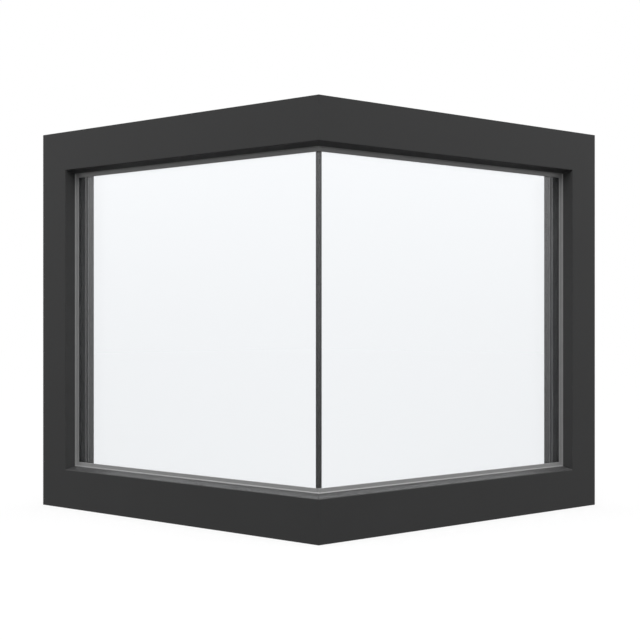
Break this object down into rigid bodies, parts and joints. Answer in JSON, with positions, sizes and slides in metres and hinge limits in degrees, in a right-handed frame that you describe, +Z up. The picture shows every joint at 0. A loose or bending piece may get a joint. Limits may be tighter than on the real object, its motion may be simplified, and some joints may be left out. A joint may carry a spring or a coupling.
{
  "type": "fixed upvc corner window",
  "caption": "Fixed corner window: dark grey upvc frames at a right angle around sealed glass units that meet at a frameless glass corner.",
  "frame": {"origin": "outer corner of the two sills at their underside, where the two outer faces meet", "axes": "+Z up; +X along the right light as seen from outside; +Y along the left light; the outer faces look towards -Y and -X and the room is on the +X +Y side"},
  "size_m": [0.792, 0.792, 0.75],
  "materials": {
    "frame": "satin foil, fine grain",
    "gasket": "matt grey",
    "glass": "clear, polished",
    "spacer": "matt black",
    "packer": "matt dark grey",
    "sealant": "dark grey silicone"
  },
  "bodies": {
    "root": {"corner_joint": "sealant", "left_edge_seal": "sealant", "left_far_packer": "packer", "left_head": "frame", "left_head_bead": "frame", "left_head_bead_gasket": "gasket", "left_head_gasket": "gasket", "left_inner_pane": "glass", "left_jamb": "frame", "left_jamb_bead": "frame", "left_jamb_bead_gasket": "gasket", "left_jamb_gasket": "gasket", "left_near_packer": "packer", "left_outer_pane": "glass", "left_sill": "frame", "left_sill_bead": "frame", "left_sill_bead_gasket": "gasket", "left_sill_gasket": "gasket", "left_spacer": "spacer", "right_edge_seal": "sealant", "right_far_packer": "packer", "right_head": "frame", "right_head_bead": "frame", "right_head_bead_gasket": "gasket", "right_head_gasket": "gasket", "right_inner_pane": "glass", "right_jamb": "frame", "right_jamb_bead": "frame", "right_jamb_bead_gasket": "gasket", "right_jamb_gasket": "gasket", "right_near_packer": "packer", "right_outer_pane": "glass", "right_sill": "frame", "right_sill_bead": "frame", "right_sill_bead_gasket": "gasket", "right_sill_gasket": "gasket", "right_spacer": "spacer"}
  },
  "joints": []
}
